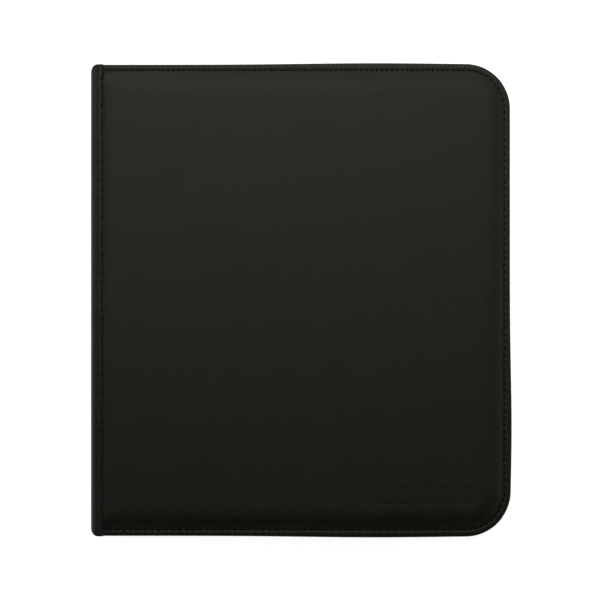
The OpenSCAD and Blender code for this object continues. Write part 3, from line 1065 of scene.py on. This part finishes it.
def build_pull(lo, hi, pivot_x, zc):
    """Flat pull: frame with a window round the bridge, a waisted grip and a raised rim."""
    yc = (lo[1] + hi[1]) / 2
    half = (hi[2] - lo[2]) / 2
    x0, x1 = pivot_x, hi[0]
    length = x1 - x0
    stations = 40
    ts = np.linspace(0, 1, stations)

    def width(t):
        x = t * length
        if x < 7:
            return 3.0 + (half - 3.0) * min(1, max(0, (x - 4) / 3)) ** 2
        if x > length - 4:
            return half * math.sqrt(max(0.02, 1 - ((x - length + 4) / 4) ** 2))
        return half * (1 - 0.13 * math.sin(math.pi * (x - 7) / (length - 11)))

    parts = Parts()
    outer = [(x0 + t * length, zc + width(t)) for t in ts]
    outer += [(x0 + t * length, zc - width(t)) for t in ts[::-1]]
    window = []
    cx, wl, wh = x0 + 3.35, 2.65, 1.5
    for k in range(len(outer)):
        a = math.atan2(outer[k][1] - zc, outer[k][0] - cx)
        r = 1 / max(abs(math.cos(a)) ** 4 / wl ** 4 + abs(math.sin(a)) ** 4 / wh ** 4, 1e-9) ** 0.25
        window.append((cx + r * math.cos(a), zc + r * math.sin(a)))
    thick = (hi[1] - lo[1]) / 2
    face = thick * 0.72
    rings = []
    for blend_out, y in ((0.0, -face), (0.12, -face), (0.86, -face), (0.93, -thick), (0.985, -thick * 0.9),
                         (1.0, -thick * 0.5), (1.0, thick * 0.5), (0.985, thick * 0.9), (0.93, thick),
                         (0.86, face), (0.12, face), (0.0, face)):
        ring = []
        for (ox, oz), (wx, wz) in zip(outer, window):
            ring.append((wx + (ox - wx) * blend_out, yc + y, wz + (oz - wz) * blend_out))
        rings.append(ring)
    n = len(outer)
    verts = np.array(rings).reshape(-1, 3)
    parts.add(verts, grid_faces(len(rings), n, closed_rows=True, closed_cols=True))
    bar = [(x0, yc, zc - 2.9 + 5.8 * k / 6) for k in range(7)]
    points, faces = rod(np.array(bar)[:, [2, 1, 0]], 0.56, 12)
    parts.add(points[:, [2, 1, 0]], faces)
    pull = parts.make("slider_pull_tab", SLIDER_METAL, sharp_deg=35)
    mark_wear(pull, 30)
    fasten(pull, "pull", "slider_metal", "slider_pull")


# ---------- pages ----------

PAGE_ROOT = box_mm("binding_tape")[1][0]
POCKET_GAP = 1.2


def page_core(parts, left, right, half_y, z, half_t):
    """Core sheet with rounded free corners and enough cross lines to bend at its root."""
    xs = list(np.arange(left, FILM_LEFT, 0.35)) + list(np.linspace(FILM_LEFT, right - 3, 12))
    xs += [right - 3 + 3 * math.sin(math.radians(a)) for a in (15, 30, 45, 60, 75, 90)]
    rings = []
    for x in xs:
        y = half_y if x < right - 3 else half_y - 3 + 3 * math.sqrt(max(0, 1 - ((x - right + 3) / 3) ** 2))
        ys = np.linspace(-y, y, 14)
        top = [(x, v, z + half_t) for v in ys]
        low = [(x, v, z - half_t) for v in ys[::-1]]
        rings.append(top + low)
    parts.add(*capped_tube(rings), 0)


def pocket(parts, x0, x1, y0, y1, z, up, rng, mouth):
    """One clear pocket: film welded on three sides and loose at its mouth, slightly crowned."""
    nx, ny = 9, 11
    lift = 0.05 + 0.05 * rng.random()
    r = 1.4
    pts = []
    for i in range(nx):
        for j in range(ny):
            u, v = i / (nx - 1), j / (ny - 1)
            eu = 0.5 - 0.5 * math.cos(math.pi * u)
            ev = 0.5 - 0.5 * math.cos(math.pi * v)
            x, y = x0 + (x1 - x0) * eu, y0 + (y1 - y0) * ev
            cx, cy = abs(2 * eu - 1), abs(2 * ev - 1)
            if cx > 0.98 and cy > 0.98:
                x += math.copysign(r * 0.3, 0.5 - eu)
                y += math.copysign(r * 0.3, 0.5 - ev)
            h = lift * (1 - cx ** 6) * (1 - cy ** 6) + 0.05
            if (u > 0.97 and mouth > 0) or (u < 0.03 and mouth < 0):
                h = 0.12 * (1 - cy ** 8) + 0.05
            pts.append((x, y, z + up * h))
    top = len(pts)
    rim = [i * ny for i in range(nx)] + [(nx - 1) * ny + j for j in range(1, ny)]
    rim += [i * ny + ny - 1 for i in range(nx - 2, -1, -1)] + [j for j in range(ny - 2, 0, -1)]
    for k in rim:
        pts.append((pts[k][0], pts[k][1], z - up * 0.02))
    faces = grid_faces(nx, ny)
    m = len(rim)
    faces += [(rim[k], rim[(k + 1) % m], top + (k + 1) % m, top + k) for k in range(m)]
    faces.append(tuple(top + k for k in range(m)))
    parts.add(pts, faces, 1)


def build_page(index):
    """One page: its core, and a grid of pockets on both faces, with close cross lines where it joins the
    spine.
    """
    name = f"page_{index:02d}"
    lo, hi = box_mm(name)
    z = (lo[2] + hi[2]) / 2
    half_t = 0.15
    rng = random.Random(100 + index)
    parts = Parts()
    page_core(parts, PAGE_ROOT, hi[0], hi[1], z, half_t)
    x_step = (hi[0] - 1.5 - FILM_LEFT) / COLUMNS
    y_lo, y_hi = lo[1] + 1.5, hi[1] - 1.5
    y_step = (y_hi - y_lo) / ROWS
    for up in (-1, 1):
        for c in range(COLUMNS):
            for r in range(ROWS):
                x0 = FILM_LEFT + c * x_step + POCKET_GAP / 2
                y0 = y_lo + r * y_step + POCKET_GAP / 2
                pocket(parts, x0, x0 + x_step - POCKET_GAP, y0, y0 + y_step - POCKET_GAP,
                       z + up * half_t, up, rng, 1 if c < COLUMNS / 2 else -1)
    obj = parts.make(f"{name}_sheet", [CORE, FILM], sharp_deg=50)
    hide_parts(name, "binding_guards")
    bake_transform(obj)


# ---------- build everything ----------

for side in ("front", "back"):
    build_cover(side)
    build_padding(side)
    build_lining(side)
    edge_stitches(side)
    spine_stitches(side)
    build_wrap(side)
    build_inner_hinge(side)
    build_tape(side)
build_turn_in(1)
build_turn_in(-1)
build_coil("front", 0.0)
build_coil("back", 0.5)
build_slider()
for page_index in range(1, 21):
    build_page(page_index)

for node, material in (("front_board", BOARD), ("back_board", BOARD), ("spine_board", BOARD),
                       ("binding_tape", CORE), ("front_zip_stops", STOP_METAL),
                       ("back_zip_stops", STOP_METAL)):
    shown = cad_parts[node]
    shown.data.materials.clear()
    shown.data.materials.append(material)

# ---------- floor, light and camera ----------


def floor_material():
    """White paper that also glows, so that the background stays white."""
    n = Nodes("floor_paper")
    grain = n.noise(300.0, 3.0)
    base = n.mix(grain, (0.88, 0.88, 0.88), (0.93, 0.93, 0.93))
    return n.finish(base, n.ranged(grain, 0.3, 0.7, 0.85, 0.95), Emission_Color=(1, 1, 1, 1),
                    Emission_Strength=0.9)


FLOOR = 6000
corners = [(x * FLOOR, y * FLOOR, -0.05) for x, y in ((-1, -1), (1, -1), (1, 1), (-1, 1))]
floor = add_object("floor", corners, [(0, 1, 2, 3)], floor_material())


def area_light(name, place, target, width, height, power):
    """Rectangular light aimed at a target, in metres and watts."""
    light = bpy.data.lights.new(name, "AREA")
    light.shape = "RECTANGLE"
    light.size, light.size_y, light.energy = width, height, power
    obj = bpy.data.objects.new(name, light)
    bpy.context.scene.collection.objects.link(obj)
    obj.location = place
    obj.rotation_euler = (Vector(target) - Vector(place)).to_track_quat("-Z", "Y").to_euler()
    return obj


area_light("soft_top", (0.0, 0.72, 1.7), (0.03, 0.44, 0), 1.95, 0.82, 10.3)
area_light("rake_head", (-0.7, 1.3, 0.5), (0, 0, 0.03), 0.7, 0.35, 3)

for name, x, y, power in (("low_foot", 0.15, -1.6, 0.12), ("low_spine", -1.6, -0.1, 3.0),
                          ("low_fore", 1.6, 0.1, 2.2), ("low_head", 0.5, 1.6, 3.0)):
    low = area_light(name, (x, y, 0.5), (0, 0, 0.02), 1.3, 0.35, power)
    low.visible_camera = False

world = bpy.data.worlds.new("studio")
world.use_nodes = True
world.node_tree.nodes["Background"].inputs[0].default_value = (1, 1, 1, 1)
world.node_tree.nodes["Background"].inputs[1].default_value = 0.05
bpy.context.scene.world = world
bpy.context.scene.view_settings.view_transform = "Standard"

LENS, SENSOR = 85, 36
camera_data = bpy.data.cameras.new("camera")
camera_data.lens = LENS
camera_data.sensor_width = SENSOR
camera = bpy.data.objects.new("camera", camera_data)
FRAME_W = 0.435
camera.location = (-0.00036, 0.0002, TOP * MM + FRAME_W * LENS / SENSOR)
camera.rotation_euler = (0, 0, 0)
bpy.context.scene.collection.objects.link(camera)
bpy.context.scene.camera = camera
